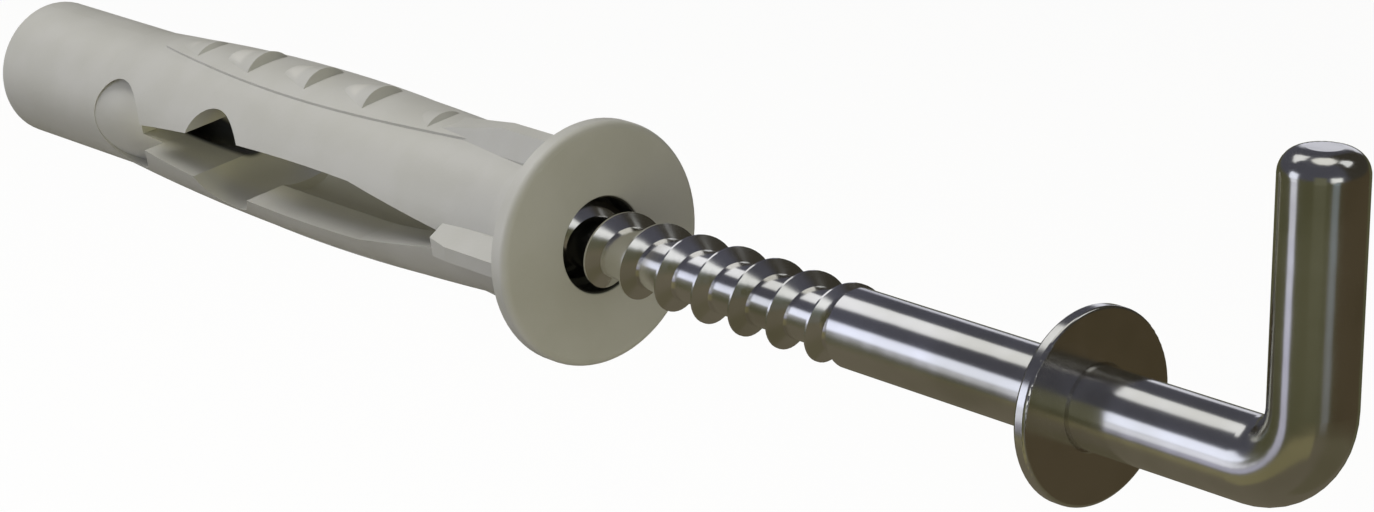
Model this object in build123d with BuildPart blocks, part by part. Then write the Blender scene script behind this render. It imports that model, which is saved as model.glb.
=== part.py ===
from build123d import *
import math
import os

# Expansion plug with a screw-in square hook, in millimetres.
# The origin is on the plug's axis in the wall face of its collar.
# +X runs out of the wall, +Z runs up the leg of the hook.
# Depths are measured from the wall face into the wall, along -X.

# Plug sleeve
plug_radius = 4.0
plug_length = 51.0
tip_round = 0.35
bulge = 0.67
bulge_tip_depth = 40.0
bulge_collar_depth = 3.5
plug_roll = 10.5

# Collar
collar_radius = 6.46
collar_thickness = 1.0
collar_round = 0.42

# Bore
bore_mouth_radius = 2.5
bore_mouth_chamfer = 0.12
bore_mouth_depth = 1.6
land_clearance = 0.06
chamber_radius = 2.45
chamber_start_depth = 7.0
chamber_end_depth = 25.3
pilot_radius = 1.4
pilot_end_depth = 45.0
bore_step_angle = 45.0

# Slit between the two jaws, and the cross hole that frees them
slit_tip_depth = 36.9
slit_tip_half = 0.4
slit_taper_depth = 35.4
slit_taper_half = 0.8
slit_wide_depth = 15.0
slit_wide_half = 1.7
slit_collar_depth = 7.0
slit_collar_half = 0.44
slit_crown = 0.42
cross_hole_depth = 27.85
cross_hole_radius = 3.0

# Thumbnail recess at the tip end of the slit
recess_depth = 38.05
recess_radius = 2.7
recess_drop = 1.3
recess_lip = 0.03

# Raised land that carries the teeth
land_rise = 0.14
land_tip_depth = 36.6
land_collar_depth = 7.8
land_half_width = 2.05
land_end_half_width = 0.8

# Barbed teeth
tooth_count = 5
tooth_pitch = 5.4
tooth_first_depth = 32.9
tooth_rise = 0.5
end_tooth_rise = 0.26
tooth_round = 1.75
tooth_ramp_length = 2.7
tooth_ramp_drop = 0.38
tooth_toe_length = 1.1
tooth_toe_drop = 0.42
tooth_back_length = 0.4

# Neck ribs that keep the plug from turning
rib_height_radius = 5.3
rib_ramp_depth = 10.8
rib_full_depth = 5.5
rib_root_half = 1.03
rib_crest_half = 0.42

# Hook wire
wire_radius = 2.0
shank_start = 20.0
shank_chamfer = 0.14
leg_reach = 48.66
leg_height = 14.6
leg_round = 1.17
bend_radius = 3.1

# Wood thread
core_radius = 1.45
crest_radius = 2.126
thread_pitch = 2.78
crest_width = 0.12
root_width = 1.2
root_sink = 0.15
screw_tip_depth = 15.6
point_length = 4.2
point_radius = 0.15
thread_lead_in = 0.34

# Cover washer pressed on the shank
washer_front = 36.1
washer_thickness = 0.71
washer_radius = 4.7
washer_round = 0.16
washer_bore_chamfer = 0.14

# Planes of the plug, turned about its axis by the roll
plan = Plane.XY.rotated((plug_roll, 0, 0))
side = Plane.XZ.rotated((plug_roll, 0, 0))
across = Plane((0, 0, 0), x_dir=plan.y_dir, z_dir=plan.x_dir)


def barrel_radius(depth):
    """Radius of the sleeve at a depth, on the arc of its swelling."""
    half = (bulge_tip_depth - bulge_collar_depth) / 2
    middle = (bulge_tip_depth + bulge_collar_depth) / 2
    arc_radius = (half**2 + bulge**2) / (2 * bulge)
    offset = min(abs(depth - middle), half)
    return plug_radius + bulge - arc_radius + math.sqrt(arc_radius**2 - offset**2)


def barrel_profile(rise):
    """Closed half profile of the swollen sleeve, raised by a constant amount."""
    tip = (-bulge_tip_depth, plug_radius + rise)
    collar = (-bulge_collar_depth, plug_radius + rise)
    with BuildLine() as outline:
        SagittaArc(tip, collar, bulge)
        Polyline(collar, (collar[0], 0), (tip[0], 0), tip)
    return outline.line


# Raised land: the sleeve's skin, raised inside a lens-shaped outline
lens_reach = (land_tip_depth - land_collar_depth) / 2
lens_middle = (land_tip_depth + land_collar_depth) / 2
lens_sagitta = land_half_width - land_end_half_width
through = collar_radius
with BuildPart() as land:
    with BuildSketch(side) as land_skin:
        with BuildLine():
            add(barrel_profile(land_rise))
        make_face()
    revolve(axis=Axis.X)
    with BuildSketch(plan) as lens:
        with BuildLine(mode=Mode.PRIVATE) as lens_side:
            ends = [(-lens_middle - lens_reach, land_end_half_width)]
            ends.append((-lens_middle + lens_reach, land_end_half_width))
            SagittaArc(ends[0], ends[1], lens_sagitta)
        with BuildLine():
            add(lens_side.line)
            mirror(lens_side.line, about=Plane.XZ)
            Line(ends[0], (ends[0][0], -ends[0][1]))
            Line(ends[1], (ends[1][0], -ends[1][1]))
        make_face()
    extrude(amount=through, both=True, mode=Mode.INTERSECT)

# Teeth on one side: ramps that rise towards the collar and end in a steep back
with BuildPart() as teeth:
    for number in range(tooth_count):
        ridge = tooth_first_depth - number * tooth_pitch
        is_end = number in (0, tooth_count - 1)
        rise = end_tooth_rise if is_end else tooth_rise
        centre = barrel_radius(ridge) + land_rise + rise - tooth_round
        heel = -ridge + tooth_back_length
        crease = -ridge - tooth_ramp_length
        toe = crease - tooth_toe_length
        crease_top = centre + tooth_round - tooth_ramp_drop
        toe_top = crease_top - tooth_toe_drop
        heel_top = centre + tooth_round - rise - land_rise
        with BuildSketch(side):
            with BuildLine():
                Polyline(
                    (toe, centre),
                    (toe, toe_top),
                    (crease, crease_top),
                    (-ridge, centre + tooth_round),
                    (heel, heel_top),
                    (heel, centre),
                    close=True,
                )
            make_face()
        revolve(axis=Axis(side.from_local_coords((0, centre, 0)), (1, 0, 0)))


def neck_rib(start_depth):
    """A rib above the axis, from a start depth to the collar."""
    with BuildPart() as rib:
        with BuildSketch(across.offset(-start_depth)):
            with BuildLine():
                Polyline(
                    (-rib_root_half, 0),
                    (rib_root_half, 0),
                    (rib_root_half, plug_radius),
                    (rib_crest_half, rib_height_radius),
                    (-rib_crest_half, rib_height_radius),
                    (-rib_root_half, plug_radius),
                    close=True,
                )
            make_face()
        extrude(amount=start_depth)
        with BuildSketch(side):
            with BuildLine():
                Polyline(
                    (-rib_ramp_depth, 0),
                    (-rib_ramp_depth, barrel_radius(rib_ramp_depth)),
                    (-rib_full_depth, rib_height_radius),
                    (0, rib_height_radius),
                    (0, 0),
                    close=True,
                )
            make_face()
        extrude(amount=through, both=True, mode=Mode.INTERSECT)
    return rib.part


# Recess pair: a shallow cone-shaped drop inside a round outline
with BuildPart() as recesses:
    near = -recess_depth + recess_radius
    far = -recess_depth - recess_radius
    with BuildSketch(side):
        with BuildLine():
            Polyline(
                (far, plug_radius - recess_lip),
                (near, barrel_radius(-near) - recess_drop),
                (near, through),
                (far, through),
                close=True,
            )
        make_face()
    revolve(axis=Axis.X)
    with BuildSketch(side):
        with Locations((-recess_depth, 0)):
            Circle(recess_radius)
    extrude(amount=through, both=True, mode=Mode.INTERSECT)

# Expansion plug
land_radius = crest_radius + land_clearance
step_slope = math.tan(math.radians(bore_step_angle))
with BuildPart() as expansion_plug:
    with BuildSketch(side):
        with BuildLine():
            Polyline(
                (-bulge_tip_depth, plug_radius),
                (-plug_length, plug_radius),
                (-plug_length, 0),
                (collar_thickness, 0),
                (collar_thickness, collar_radius),
                (0, collar_radius),
                (0, plug_radius),
                (-bulge_collar_depth, plug_radius),
            )
            SagittaArc((-bulge_tip_depth, plug_radius), (-bulge_collar_depth, plug_radius), bulge)
        make_face()
    revolve(axis=Axis.X)
    rims = expansion_plug.edges().filter_by(GeomType.CIRCLE)
    fillet(rims.group_by(Axis.X)[0], tip_round)
    rims = expansion_plug.edges().filter_by(GeomType.CIRCLE)
    fillet(rims.group_by(Axis.X)[-1], collar_round)
    add(land.part)
    add(teeth.part)
    mirror(teeth.part, about=plan)
    for turn in (0, 180):
        add(neck_rib(rib_ramp_depth).rotate(Axis.X, turn))
        add(neck_rib(slit_collar_depth).rotate(Axis.X, turn + 90))
    add(recesses.part, mode=Mode.SUBTRACT)
    with BuildSketch(side) as slit:
        with BuildLine(mode=Mode.PRIVATE) as slit_side:
            tip_corner = (-slit_tip_depth, slit_tip_half)
            taper_corner = (-slit_taper_depth, slit_taper_half)
            wide_corner = (-slit_wide_depth, slit_wide_half)
            collar_corner = (-slit_collar_depth, slit_collar_half)
            Line(tip_corner, taper_corner)
            SagittaArc(taper_corner, wide_corner, slit_crown)
            Line(wide_corner, collar_corner)
        with BuildLine():
            add(slit_side.line)
            mirror(slit_side.line, about=Plane.XZ)
            Line(tip_corner, (tip_corner[0], -tip_corner[1]))
            Line(collar_corner, (collar_corner[0], -collar_corner[1]))
        make_face()
        with Locations((-cross_hole_depth, 0)):
            Circle(cross_hole_radius)
    extrude(amount=through, both=True, mode=Mode.SUBTRACT)
    with BuildSketch(side) as bore:
        with BuildLine():
            mouth_x = collar_thickness - bore_mouth_depth
            land_x = mouth_x - (bore_mouth_radius - land_radius) / step_slope
            widen_x = -chamber_start_depth + (chamber_radius - land_radius) / step_slope
            narrow_x = -chamber_end_depth - (chamber_radius - pilot_radius) / step_slope
            end_x = -pilot_end_depth - pilot_radius / step_slope
            Polyline(
                (collar_thickness, 0),
                (collar_thickness, bore_mouth_radius + bore_mouth_chamfer),
                (collar_thickness - bore_mouth_chamfer, bore_mouth_radius),
                (mouth_x, bore_mouth_radius),
                (land_x, land_radius),
                (widen_x, land_radius),
                (-chamber_start_depth, chamber_radius),
                (-chamber_end_depth, chamber_radius),
                (narrow_x, pilot_radius),
                (-pilot_end_depth, pilot_radius),
                (end_x, 0),
                close=True,
            )
        make_face()
    revolve(axis=Axis.X, mode=Mode.SUBTRACT)

# Helical ridge of the wood thread, its root sunk into the core
cone_end = -screw_tip_depth + point_length
thread_start = cone_end + thread_lead_in
thread_length = shank_start + thread_pitch / 2 - thread_start
sunk_radius = core_radius - root_sink
with BuildPart() as thread:
    with BuildLine() as thread_path:
        Helix(thread_pitch, thread_length, sunk_radius, (thread_start, 0, 0), (1, 0, 0), lefthand=True)
    start = thread_path.line @ 0
    outward = Vector(0, start.Y, start.Z).normalized()
    section_plane = Plane(start, x_dir=(1, 0, 0), z_dir=Vector(1, 0, 0).cross(outward))
    with BuildSketch(section_plane):
        with BuildLine():
            Polyline(
                (-root_width / 2, 0),
                (root_width / 2, 0),
                (crest_width / 2, crest_radius - sunk_radius),
                (-crest_width / 2, crest_radius - sunk_radius),
                close=True,
            )
        make_face()
    sweep(path=thread_path.line, is_frenet=True)
    split(bisect_by=Plane.YZ.offset(shank_start), keep=Keep.BOTTOM)

# Screw hook: bent wire with a square leg, a reduced core and the thread on it
with BuildPart() as screw_hook:
    with BuildLine(Plane.XZ) as wire_path:
        run = Line((shank_start, 0), (leg_reach - bend_radius, 0))
        bend = JernArc(run @ 1, run % 1, bend_radius, 90)
        Line(bend @ 1, (leg_reach, leg_height))
    with BuildSketch(Plane.YZ.offset(shank_start)):
        Circle(wire_radius)
    sweep(path=wire_path.line)
    fillet(screw_hook.edges().group_by(Axis.Z)[-1], leg_round)
    chamfer(screw_hook.edges().group_by(Axis.X)[0], shank_chamfer)
    with BuildSketch(Plane.XZ):
        with BuildLine():
            Polyline(
                (shank_start + wire_radius, 0),
                (shank_start + wire_radius, core_radius),
                (cone_end, core_radius),
                (-screw_tip_depth, point_radius),
                (-screw_tip_depth, 0),
                close=True,
            )
        make_face()
    revolve(axis=Axis.X)
    add(thread.part)

# Cover washer
with BuildPart() as cover_washer:
    with BuildSketch(Plane.YZ.offset(washer_front)):
        Circle(washer_radius)
        Circle(wire_radius, mode=Mode.SUBTRACT)
    extrude(amount=-washer_thickness)
    rims = cover_washer.edges().filter_by(GeomType.CIRCLE).sort_by(lambda edge: edge.radius)
    chamfer(rims[:2].sort_by(Axis.X)[-1], washer_bore_chamfer)
    rims = cover_washer.edges().filter_by(GeomType.CIRCLE).sort_by(lambda edge: edge.radius)
    fillet(rims[-2:], washer_round)

expansion_plug.part.label = "expansion_plug"
screw_hook.part.label = "screw_hook"
cover_washer.part.label = "cover_washer"

os.makedirs("parts", exist_ok=True)
export_step(expansion_plug.part, "parts/expansion_plug.step")
export_step(screw_hook.part, "parts/screw_hook.step")
export_step(cover_washer.part, "parts/cover_washer.step")
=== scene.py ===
# %% [markdown]
# # Expansion plug with a screw-in square hook
# This lesson dresses a small wall fixing in Blender. A CAD program has
# already made three solids: a moulded nylon sleeve, a threaded steel hook and
# a thin cover washer. They arrive as a fixed frame in metres, with +X along the
# sleeve out of the wall and +Z up the leg of the hook. Nothing here moves or
# reshapes them. We add a camera, a studio and the finishes.

import math

import bmesh
import bpy
from mathutils import Matrix, Vector

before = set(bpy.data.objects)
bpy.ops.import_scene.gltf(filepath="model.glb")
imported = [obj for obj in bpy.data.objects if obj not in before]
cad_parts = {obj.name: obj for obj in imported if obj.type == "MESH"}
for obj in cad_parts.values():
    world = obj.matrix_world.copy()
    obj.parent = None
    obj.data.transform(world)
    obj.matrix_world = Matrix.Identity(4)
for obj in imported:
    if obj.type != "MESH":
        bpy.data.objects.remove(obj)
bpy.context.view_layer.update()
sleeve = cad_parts["expansion_plug"]
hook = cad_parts["screw_hook"]
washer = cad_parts["cover_washer"]

# %% [markdown]
# The camera stands in front of the hook end and a little above it, so the
# sleeve runs away from us. A lens of about 107 mm keeps the far end from
# shrinking too fast. Three things place the camera: the eye, the line of
# sight, and the direction that points right in the picture. They are easier to
# read than three angles, and the last one holds a trace of roll.

# %% Camera
MM = 0.001
EYE = Vector((156.92, -127.85, 57.04)) * MM
SIGHT = Vector((-0.73023, 0.62549, -0.27481)).normalized()
RIGHT = Vector((0.64995, 0.75998, 0.00273))
LENS = 106.99
SENSOR = 36.0
NEAREST = 0.01
FARTHEST = 20.0

camera_data = bpy.data.cameras.new("camera")
camera_data.sensor_fit = "HORIZONTAL"
camera_data.sensor_width = SENSOR
camera_data.lens = LENS
camera_data.clip_start = NEAREST
camera_data.clip_end = FARTHEST
camera = bpy.data.objects.new("camera", camera_data)
bpy.context.scene.collection.objects.link(camera)
up = RIGHT.cross(SIGHT).normalized()
across = SIGHT.cross(up).normalized()
turn = Matrix((across, up, -SIGHT)).transposed().to_4x4()
camera.matrix_world = Matrix.Translation(EYE) @ turn
bpy.context.scene.camera = camera
bpy.context.scene.view_settings.view_transform = "Standard"
print("camera at", [round(v, 4) for v in EYE])

# %% [markdown]
# Shader maths is easier to read as Python than as a cloud of boxes. One small
# class wraps a socket, so `a * b + 0.5` adds the Math nodes for us. Each
# operator also has a reflected form, for a number on the left.

# %% Shader values


class Value:
    """A number that changes over a surface: the output of a shader node."""

    def __init__(self, paint, socket):
        self.paint = paint
        self.socket = socket

    def _math(self, operation, *terms):
        settings = {"operation": operation}
        return self.paint.node("ShaderNodeMath", settings, dict(enumerate(terms)))

    def __add__(self, other):
        return self._math("ADD", self, other)

    def __radd__(self, other):
        return self._math("ADD", other, self)

    def __sub__(self, other):
        return self._math("SUBTRACT", self, other)

    def __rsub__(self, other):
        return self._math("SUBTRACT", other, self)

    def __mul__(self, other):
        return self._math("MULTIPLY", self, other)

    def __rmul__(self, other):
        return self._math("MULTIPLY", other, self)

    def __pow__(self, other):
        return self._math("POWER", self, other)

    def __rpow__(self, other):
        return self._math("POWER", other, self)


print("a shader value can be added, subtracted, multiplied and raised")

# %% [markdown]
# A second class stands for a material or the world. Its one method `node`
# makes any other node, sets it up and plugs in its inputs. The short methods
# below it are only names for the nodes that this lesson uses often, and `coat`
# puts the finished material on a piece.

# %% Paint
OPAQUE = 1.0


class Paint:
    """A node tree, of a material or of the world, and what goes into it."""

    def __init__(self, owner):
        self.owner = owner
        owner.use_nodes = True
        self.tree = owner.node_tree

    def node(self, kind, settings=None, inputs=None, output=0):
        made = self.tree.nodes.new(kind)
        for key, value in (settings or {}).items():
            setattr(made, key, value)
        for key, value in (inputs or {}).items():
            self.feed(made.inputs[key], value)
        return Value(self, made.outputs[output])

    def feed(self, socket, value):
        if isinstance(value, Value):
            self.tree.links.new(value.socket, socket)
        elif socket.type == "RGBA":
            socket.default_value = (*value, OPAQUE)
        else:
            socket.default_value = value

    def set(self, node_name, **inputs):
        sockets = self.tree.nodes[node_name].inputs
        for name, value in inputs.items():
            self.feed(sockets[name.replace("_", " ")], value)

    def split(self, vector):
        kind = "ShaderNodeSeparateXYZ"
        return [self.node(kind, {}, {0: vector}, axis) for axis in "XYZ"]

    def noise(self, vector, scale, detail):
        inputs = {"Vector": vector, "Scale": scale, "Detail": detail}
        return self.node("ShaderNodeTexNoise", {}, inputs, "Fac")

    def ramp(self, value, low, high):
        smooth = {"interpolation_type": "SMOOTHSTEP"}
        limits = {"Value": value, "From Min": low, "From Max": high}
        return self.node("ShaderNodeMapRange", smooth, limits)

    def mix(self, factor, first, second):
        inputs = {0: factor, 6: first, 7: second}
        return self.node("ShaderNodeMix", {"data_type": "RGBA"}, inputs, 2)

    def blend(self, factor, first, second):
        inputs = {0: factor, 1: first, 2: second}
        return self.node("ShaderNodeMixShader", {}, inputs)

    def bump(self, height, distance):
        inputs = {"Height": height, "Distance": distance}
        return self.node("ShaderNodeBump", {}, inputs)

    def coat(self, piece):
        piece.data.materials.clear()
        piece.data.materials.append(self.owner)
        print(self.owner.name, "on", piece.name)


print("a paint makes nodes of any kind")

# %% [markdown]
# The sleeve is nylon from a mould: a warm light grey with a faint mottle where
# the melt flowed. Two close greys and a soft noise give that. The next cells
# have to know where on the sleeve they are, so two plain measures come first:
# x runs along the sleeve, and the radius is the distance from its axis.

# %% Nylon
NYLON = (0.435, 0.43, 0.405)
NYLON_SHADE = (0.415, 0.41, 0.38)
MOTTLE_SCALE = 320.0
MOTTLE_DETAIL = 4.0
MOTTLE_LOW = 0.35
MOTTLE_HIGH = 0.65

nylon = Paint(bpy.data.materials.new("moulded_nylon"))
place = nylon.node("ShaderNodeTexCoord", output="Object")
x, y, z = nylon.split(place)
radius = (y * y + z * z) ** 0.5
mottle = nylon.noise(place, MOTTLE_SCALE, MOTTLE_DETAIL)
flow = nylon.ramp(mottle, MOTTLE_LOW, MOTTLE_HIGH)
colour = nylon.mix(flow, NYLON_SHADE, NYLON)
print("nylon from", NYLON_SHADE, "to", NYLON)

# %% [markdown]
# The barbs stand on a raised land that swells in one long arc. The toe of each
# barb is painted paler: this is painted light, for the light that falls on the
# slope of each toe. Three masks multiplied together find those places: what
# stands proud of the arc, the length of the row, and the toe of each barb.
# A floored modulo measures from the nearest toe, so one ramp serves them all.

# %% Painted light on the barb toes
TOE_PAINTED_LIGHT = (0.52, 0.51, 0.475)
TOE_LIGHT_STRENGTH = 0.8
LAND_RADIUS = 4.81 * MM
SWELL_MIDDLE = -21.75 * MM
SWELL_ARC = 248.9 * MM
PROUD_LOW = 0.02 * MM
PROUD_HIGH = 0.16 * MM
BARBS_START = -37.0 * MM
BARBS_END = -10.9 * MM
BARBS_FADE = 0.5 * MM
BARB_PITCH = 5.4 * MM
BARB_TOE = -36.7 * MM
LIT_TOE_LENGTH = 2.5 * MM
LIT_TOE_FADE = 0.3 * MM

along = x - SWELL_MIDDLE
land = LAND_RADIUS - SWELL_ARC + (SWELL_ARC**2 - along * along) ** 0.5
proud = nylon.ramp(radius - land, PROUD_LOW, PROUD_HIGH)
modulo = {"operation": "FLOORED_MODULO"}
from_toe = nylon.node("ShaderNodeMath", modulo, {0: x - BARB_TOE, 1: BARB_PITCH})
toe = nylon.ramp(from_toe, LIT_TOE_LENGTH + LIT_TOE_FADE, LIT_TOE_LENGTH - LIT_TOE_FADE)
row_start = nylon.ramp(x, BARBS_START - BARBS_FADE, BARBS_START)
row_end = nylon.ramp(x, BARBS_END + BARBS_FADE, BARBS_END)
toe_light = proud * toe * row_start * row_end * TOE_LIGHT_STRENGTH
# Painted light: the toes are mixed towards a paler tone.
colour = nylon.mix(toe_light, colour, TOE_PAINTED_LIGHT)
print("toes lightened over", LIT_TOE_LENGTH, "m of each", BARB_PITCH, "m")

# %% [markdown]
# Inside the sleeve the tone turns yellower from the skin inwards. This is
# painted light, for light that reaches the wall only through nylon. The
# collar's face and the tip keep the outer colour, which is why each mask also
# has a limit in x. The narrow pilot hole is painted nearly black, as painted
# shade deep in the hole. So is the mouth, where the steel screw has worn the
# wall smooth; its black is painted shade too.

# %% Painted light and shade in the bore and mouth
INNER_PAINTED_LIGHT = (0.50, 0.485, 0.385)
BORE_PAINTED_SHADE = (0.04, 0.04, 0.036)
SKIN_RADIUS = 3.85 * MM
BORE_RADIUS = 2.62 * MM
BORE_FADE = 0.08 * MM
FACE_END = -1.0 * MM
FACE_FADE = 1.0 * MM
SHADE_END = -7.5 * MM
SHADE_FADE = 1.5 * MM
PILOT_RADIUS = 1.4 * MM
PILOT_FADE = 0.3 * MM
TIP_START = -47.0 * MM
TIP_FADE = 0.5 * MM

before_tip = nylon.ramp(x, TIP_START - TIP_FADE, TIP_START + TIP_FADE)
behind_face = nylon.ramp(x, FACE_END, FACE_END - FACE_FADE)
deep = nylon.ramp(radius, SKIN_RADIUS, BORE_RADIUS) * behind_face * before_tip
# Painted light: the inner wall turns to a yellower tone.
colour = nylon.mix(deep, colour, INNER_PAINTED_LIGHT)
pilot = nylon.ramp(radius, PILOT_RADIUS + PILOT_FADE, PILOT_RADIUS) * before_tip
# Painted shade: the pilot hole turns nearly black.
colour = nylon.mix(pilot, colour, BORE_PAINTED_SHADE)
inside = nylon.ramp(radius, BORE_RADIUS, BORE_RADIUS - BORE_FADE)
shaded = inside * nylon.ramp(x, SHADE_END, SHADE_END + SHADE_FADE)
# Painted shade: the mouth turns nearly black.
colour = nylon.mix(shaded, colour, BORE_PAINTED_SHADE)
print("mouth worn down to x =", SHADE_END)

# %% [markdown]
# Moulded nylon is softly shiny, a little less so where the mottle is light. A
# spark-eroded mould leaves a very fine grain. It is far smaller than any
# facet, so it is a bump and not geometry.

# %% Nylon on the sleeve
NYLON_ROUGHNESS = 0.36
MOTTLE_ROUGHNESS = 0.1
WORN_SHINE = 0.22
NYLON_IOR = 1.53
GRAIN_SCALE = 5200.0
GRAIN_DETAIL = 2.0
GRAIN_HEIGHT = 0.006 * MM

grain = nylon.noise(place, GRAIN_SCALE, GRAIN_DETAIL)
nylon.set(
    "Principled BSDF",
    Base_Color=colour,
    Roughness=NYLON_ROUGHNESS + MOTTLE_ROUGHNESS * mottle - WORN_SHINE * shaded,
    Normal=nylon.bump(grain, GRAIN_HEIGHT),
    IOR=NYLON_IOR,
)
nylon.coat(sleeve)

# %% [markdown]
# The hook is cold-drawn wire with a bright plated skin, and the washer has the
# same skin. Drawing leaves hairline streaks along the wire, so their noise is
# stretched along X. The plating is duller in patches, and a slow, very shallow
# wave bends the long reflections a little, as on real wire.

# %% Plated steel
STEEL = (0.84, 0.83, 0.82)
STEEL_DULL = (0.66, 0.65, 0.60)
STREAK_STRETCH = (0.12, 1.0, 1.0)
STREAK_SCALE = 900.0
STREAK_HEIGHT = 0.001 * MM
PATCH_SCALE = 160.0
PATCH_LOW = 0.3
PATCH_HIGH = 0.7
STEEL_DETAIL = 3.0
WAVE_SCALE = 260.0
WAVE_DETAIL = 2.0
WAVE_HEIGHT = 0.03 * MM
ALL_METAL = 1.0
STEEL_ROUGHNESS = 0.10
STREAK_ROUGHNESS = 0.08
PATCH_ROUGHNESS = 0.05
HEIGHT_IN_METRES = 1.0

steel = Paint(bpy.data.materials.new("plated_steel"))
place = steel.node("ShaderNodeTexCoord", output="Object")
mapping = {"Vector": place, "Scale": STREAK_STRETCH}
stretched = steel.node("ShaderNodeMapping", {}, mapping)
streaks = steel.noise(stretched, STREAK_SCALE, STEEL_DETAIL)
patches = steel.noise(place, PATCH_SCALE, STEEL_DETAIL)
waves = steel.noise(place, WAVE_SCALE, WAVE_DETAIL)
relief = streaks * STREAK_HEIGHT + waves * WAVE_HEIGHT
bright = steel.ramp(patches, PATCH_LOW, PATCH_HIGH)
steel.set(
    "Principled BSDF",
    Base_Color=steel.mix(bright, STEEL_DULL, STEEL),
    Metallic=ALL_METAL,
    Roughness=STEEL_ROUGHNESS + STREAK_ROUGHNESS * streaks + PATCH_ROUGHNESS * patches,
    Normal=steel.bump(relief, HEIGHT_IN_METRES),
)
for piece in (hook, washer):
    steel.coat(piece)

# %% [markdown]
# The studio is white: the world behind and the floor below show as plain white
# to the camera, and to rays that were mirrored or went through something. One
# helper finds those rays, and another puts a piece of the studio on the stage,
# which keeps it out of the part.

# %% Studio helpers
BACKGROUND_RAYS = ("Is Camera Ray", "Is Glossy Ray", "Is Transmission Ray")


def background_ray(paint):
    rays = [paint.node("ShaderNodeLightPath", output=kind) for kind in BACKGROUND_RAYS]
    return paint.node("ShaderNodeClamp", {}, {"Value": rays[0] + rays[1] + rays[2]})


def stage_piece(name, builder):
    data = bpy.data.meshes.new(name)
    builder.to_mesh(data)
    builder.free()
    piece = bpy.data.objects.new(name, data)
    bpy.context.scene.collection.objects.link(piece)
    return piece


print("the background shows to", BACKGROUND_RAYS)

# %% [markdown]
# The floor is a wide sheet well under the part. A small share of what the
# camera sees of it is matte paint, so a shadow still shows. Soft light that
# bounces off the floor uses a darker tone, which keeps the underside in shade.
# From below the sheet is clear, so the part can be seen from there too.

# %% Floor
WHITE = (1.0, 1.0, 1.0)
PLAIN = 1.0
FLOOR_DROP = 0.15
FLOOR_HALF = 6.0
FLOOR_GLOW = 0.9
FLOOR_ROUGHNESS = 0.9
FLOOR_SEEN = (0.97, 0.97, 0.97)
FLOOR_BOUNCE = (0.38, 0.36, 0.32)

sheet = bmesh.new()
bmesh.ops.create_grid(sheet, x_segments=1, y_segments=1, size=FLOOR_HALF)
bmesh.ops.translate(sheet, verts=sheet.verts, vec=(0.0, 0.0, -FLOOR_DROP))
floor = stage_piece("floor", sheet)

ground = Paint(bpy.data.materials.new("pale_floor"))
seen = background_ray(ground)
tone = ground.mix(seen, FLOOR_BOUNCE, FLOOR_SEEN)
ground.set("Principled BSDF", Base_Color=tone, Roughness=FLOOR_ROUGHNESS)
matte = Value(ground, ground.tree.nodes["Principled BSDF"].outputs[0])
glow = ground.node("ShaderNodeEmission", {}, {"Color": WHITE, "Strength": PLAIN})
above = ground.blend(seen * FLOOR_GLOW, matte, glow)
clear = ground.node("ShaderNodeBsdfTransparent", {}, {"Color": WHITE})
from_below = ground.node("ShaderNodeNewGeometry", output="Backfacing")
ground.set("Material Output", Surface=ground.blend(from_below, above, clear))
ground.coat(floor)

# %% [markdown]
# The world is the sky of the studio. The same rays see it white, and for soft
# light on the part it has a quiet grey.

# %% World
AMBIENT = (0.46, 0.455, 0.42)

world = bpy.data.worlds.new("studio_world")
bpy.context.scene.world = world
sky = Paint(world)
sky_tone = sky.mix(background_ray(sky), AMBIENT, WHITE)
sky.set("Background", Color=sky_tone, Strength=PLAIN)
print("soft light", AMBIENT, "floor at", -FLOOR_DROP)

# %% [markdown]
# Plain soft lamps light the matte nylon: a broad key from above, a cooler one
# from the front left, and a warm one on the face of the collar. They stay out
# of reflections, because polished wire shows a lamp as a hard white shape.

# %% Lamps
TARGET = Vector((0.0, 0.0, 0.0))
LAMP_DISTANCE = 1.0
LAMP_SIZE = 0.5
LAMPS = {
    "key_lamp": ((-0.55, -0.30, 0.78), 7.0, (1.0, 0.99, 0.97)),
    "front_lamp": ((-0.30, -0.95, 0.05), 2.7, (0.76, 0.80, 1.0)),
    "collar_lamp": ((0.92, -0.20, -0.10), 4.0, (1.0, 0.985, 0.70)),
}

for name, (toward, watts, tint) in LAMPS.items():
    data = bpy.data.lights.new(name, "AREA")
    data.shape = "DISK"
    data.size = LAMP_SIZE
    data.energy = watts
    data.color = tint
    lamp = bpy.data.objects.new(name, data)
    lamp.location = TARGET + Vector(toward).normalized() * LAMP_DISTANCE
    lamp.rotation_mode = "QUATERNION"
    lamp.rotation_quaternion = (TARGET - lamp.location).to_track_quat("-Z", "Y")
    lamp.visible_glossy = False
    bpy.context.scene.collection.objects.link(lamp)
print("lamps", sorted(LAMPS))

# %% [markdown]
# Polished metal in a bare white studio looks like white paint. A real studio
# hangs dark cloth round it and leaves slots, and the slots become bright bands
# along the wire. This tent does that. It is a dome, cut flat just above the
# floor and closed there, and only reflections see it.

# %% Reflection tent
TENT_CENTRE = Vector((0.04, 0.0, 0.0))
TENT_RADIUS = 3.0
TENT_GAP = 0.002
TENT_SEGMENTS = 64
TENT_RINGS = 32

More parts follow.
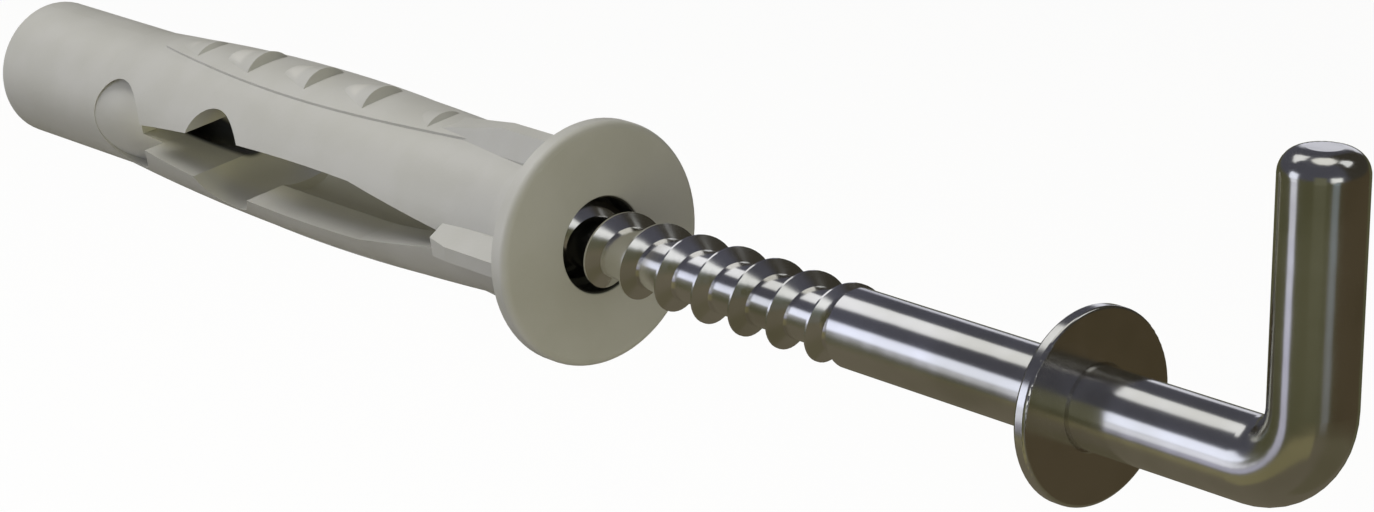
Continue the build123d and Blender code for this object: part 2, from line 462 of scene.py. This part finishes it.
dome = bmesh.new()
bmesh.ops.create_uvsphere(
    dome, u_segments=TENT_SEGMENTS, v_segments=TENT_RINGS, radius=TENT_RADIUS
)
bmesh.ops.translate(dome, verts=dome.verts, vec=TENT_CENTRE)
base = Vector((0.0, 0.0, TENT_GAP - FLOOR_DROP))
whole = [*dome.verts, *dome.edges, *dome.faces]
cut = bmesh.ops.bisect_plane(
    dome, geom=whole, plane_co=base, plane_no=(0, 0, -1), clear_outer=True
)
rim = [item for item in cut["geom_cut"] if isinstance(item, bmesh.types.BMEdge)]
bmesh.ops.contextual_create(dome, geom=rim)
tent = stage_piece("reflection_tent", dome)
tent.visible_camera = False
tent.visible_diffuse = False
tent.visible_transmission = False
tent.visible_shadow = False
print("tent of", len(tent.data.polygons), "faces")

# %% [markdown]
# Two angles, as seen from the hook, say where on the tent a point is. Azimuth
# 0 looks to -Y and 90 looks to +X, and elevation 0 is level. The cloth has few
# tones: bluish above, brown behind, olive or brown from the level down, and the
# tone of a table under that. A smooth ramp of an angle leads from each to the
# next, because a hard edge would show in the metal.

# %% Tent cloth
CLOTH = (0.078, 0.079, 0.100)
CLOTH_BEHIND = (0.045, 0.041, 0.032)
LOW_FRONT = (0.087, 0.085, 0.046)
LOW_BACK = (0.068, 0.053, 0.030)
TABLE = (0.131, 0.116, 0.082)
TABLE_BEHIND = (0.108, 0.097, 0.060)
TURN_TO_BACK = (55.0, 100.0)
BEHIND_RIGHT = (85.0, 115.0)
BEHIND_LEFT = (-140.0, -160.0)
LOW_TO_CLOTH = (-4.0, 8.0)
LOW_TO_TABLE = (-20.0, -34.0)
DEGREES = math.degrees(1.0)

cloth = Paint(bpy.data.materials.new("tent_cloth"))
place = cloth.node("ShaderNodeTexCoord", output="Object")
subtract = {"operation": "SUBTRACT"}
away = cloth.node("ShaderNodeVectorMath", subtract, {0: place, 1: TENT_CENTRE})
east, north, height = cloth.split(away)
level = (east * east + north * north) ** 0.5
arc = {"operation": "ARCTAN2"}
azimuth = cloth.node("ShaderNodeMath", arc, {0: east, 1: 0.0 - north}) * DEGREES
elevation = cloth.node("ShaderNodeMath", arc, {0: height, 1: level}) * DEGREES

to_back = cloth.ramp(azimuth, *TURN_TO_BACK)
behind = cloth.ramp(azimuth, *BEHIND_RIGHT) + cloth.ramp(azimuth, *BEHIND_LEFT)
upper = cloth.mix(behind, CLOTH, CLOTH_BEHIND)
lower = cloth.mix(to_back, LOW_FRONT, LOW_BACK)
table = cloth.mix(to_back, TABLE, TABLE_BEHIND)
tone = cloth.mix(cloth.ramp(elevation, *LOW_TO_CLOTH), lower, upper)
tone = cloth.mix(cloth.ramp(elevation, *LOW_TO_TABLE), tone, table)
print("cloth", CLOTH, "over a table", TABLE)

# %% [markdown]
# Each slot shows the white studio, toned by its tint. Each card is a panel on
# the cloth with a light of its own. The bright ones make the lower of the two
# bands along the wire, and the dim ones vary the cloth. Every line gives a
# range of azimuth and one of elevation, both in degrees, and a colour.

# %% Slots and cards
EDGE = 5.0
SLOTS = {
    "high": ((-106.0, -67.0), (37.0, 61.0), (0.96, 0.97, 1.0)),
    "far": ((-156.0, -134.0), (5.0, 18.0), (0.82, 0.83, 0.94)),
    "right": ((58.0, 86.0), (0.0, 17.0), (0.98, 1.0, 1.0)),
    "back": ((122.0, 160.0), (44.0, 66.0), (0.90, 0.92, 0.95)),
    "ceiling": ((-190.0, 190.0), (71.0, 100.0), (0.92, 0.92, 0.90)),
}
CARDS = {
    "table_front": ((-50.0, 50.0), (-46.0, -26.0), (0.205, 0.185, 0.100)),
    "wall": ((18.0, 48.0), (-13.0, 18.0), (0.150, 0.150, 0.100)),
    "low": ((-50.0, -25.0), (-3.0, 17.0), (1.08, 1.13, 1.34)),
    "sill": ((-44.0, -25.0), (-15.0, -3.0), (0.92, 0.94, 1.06)),
    "foot": ((-44.0, -25.0), (-24.0, -15.0), (0.47, 0.47, 0.60)),
    "lintel": ((64.0, 80.0), (-15.0, 0.0), (0.22, 0.26, 0.28)),
    "door": ((60.0, 78.0), (-26.0, -15.0), (0.158, 0.154, 0.142)),
}


def between(angle, low, high):
    rise = cloth.ramp(angle, low - EDGE / 2, low + EDGE / 2)
    return rise * cloth.ramp(angle, high + EDGE / 2, high - EDGE / 2)


def box(azimuths, elevations):
    return between(azimuth, *azimuths) * between(elevation, *elevations)


for azimuths, elevations, light in CARDS.values():
    tone = cloth.mix(box(azimuths, elevations), tone, light)
surface = cloth.node("ShaderNodeEmission", {}, {"Color": tone, "Strength": PLAIN})
for azimuths, elevations, tint in SLOTS.values():
    opening = cloth.node("ShaderNodeBsdfTransparent", {}, {"Color": tint})
    surface = cloth.blend(box(azimuths, elevations), surface, opening)
cloth.set("Material Output", Surface=surface)
cloth.coat(tent)
print("slots", sorted(SLOTS), "cards", sorted(CARDS))
